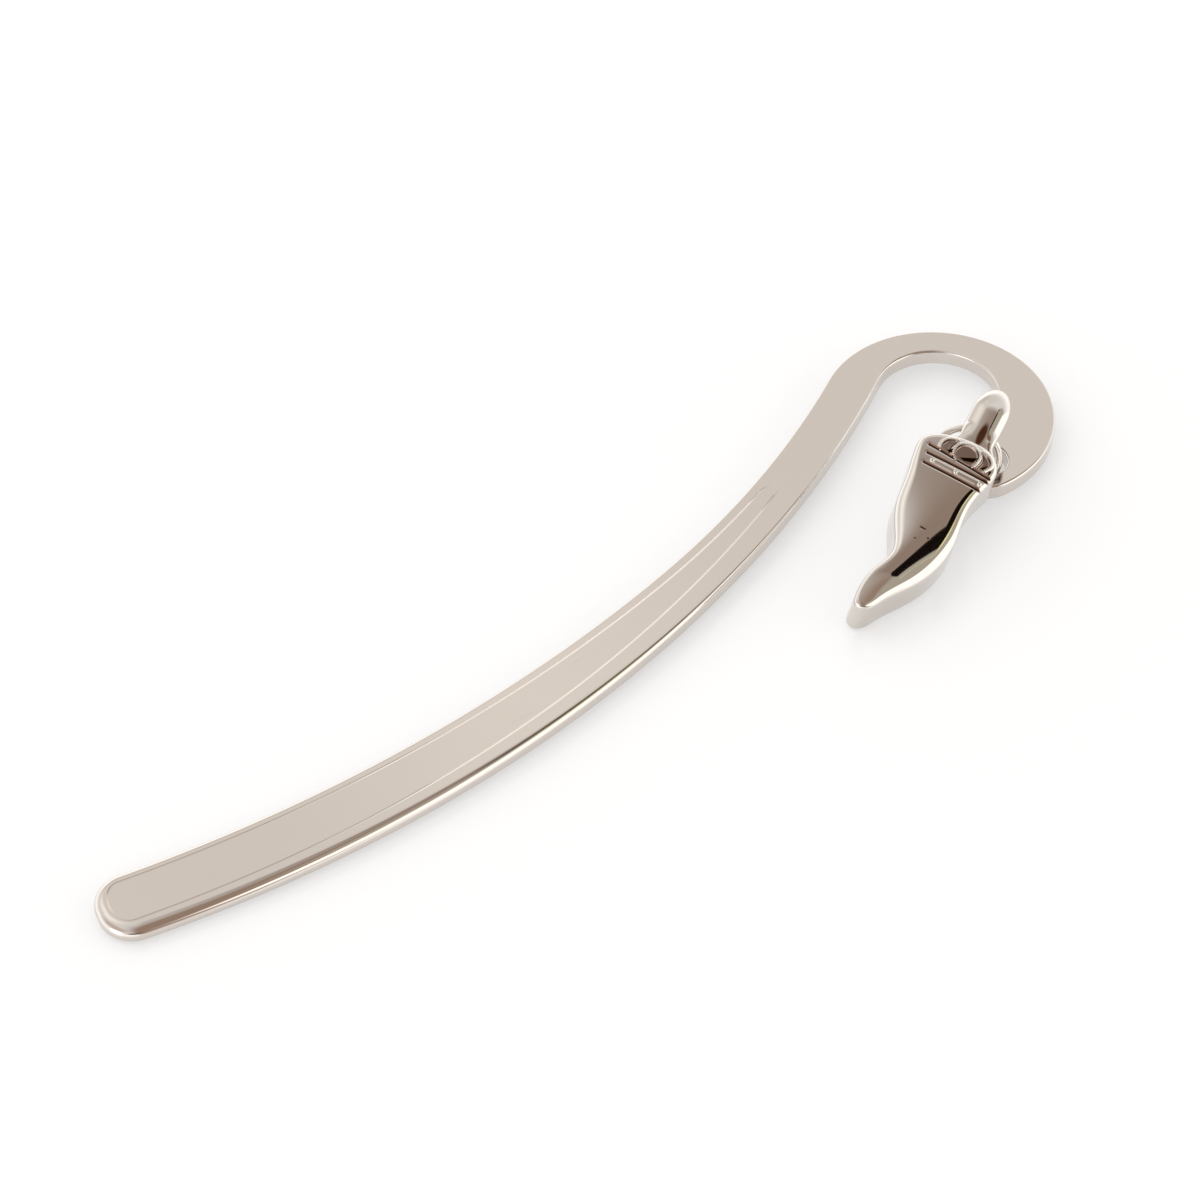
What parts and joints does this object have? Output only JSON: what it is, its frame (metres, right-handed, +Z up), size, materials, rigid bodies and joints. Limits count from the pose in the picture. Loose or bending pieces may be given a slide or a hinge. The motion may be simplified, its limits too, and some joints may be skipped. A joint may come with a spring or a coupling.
{
  "type": "hook bookmark",
  "caption": "Plated metal hook bookmark: a slim S-curved blade with an engraved border and a round crook, and a crowned horn charm that swings on a jump ring at the crook's end.",
  "frame": {"origin": "bottom centre of the whole part's box as it lies on a table, with the tip, the ring and the charm's tip on the plane z = 0", "axes": "+X runs along the blade from its tip to the crook, +Y to the side away from the charm, +Z up out of the engraved face"},
  "size_m": [0.1254, 0.0328, 0.01],
  "materials": {
    "hook_plating": "bright warm nickel plating on a polished zinc casting",
    "ring_wire": "bright nickel-plated round wire",
    "charm_plating": "bright warm nickel plating on a zinc casting, softer in the recesses"
  },
  "bodies": {
    "hook": {"hook_blade": "hook_plating"},
    "ring": {"jump_ring": "ring_wire"},
    "charm": {"horn_charm": "charm_plating"}
  },
  "joints": [
    {"name": "ring_swing", "type": "hinge", "parent": "hook", "child": "ring", "pos_m": [0.04893, -0.00707, 0.00217], "axis": [0.7804, -0.6252, 0], "range_deg": [-8, 0]},
    {"name": "charm_swing", "type": "hinge", "parent": "ring", "child": "charm", "pos_m": [0.0486, -0.00449, 0.00722], "axis": [0.648, -0.6782, -0.3466], "range_deg": [-20, 0]}
  ]
}
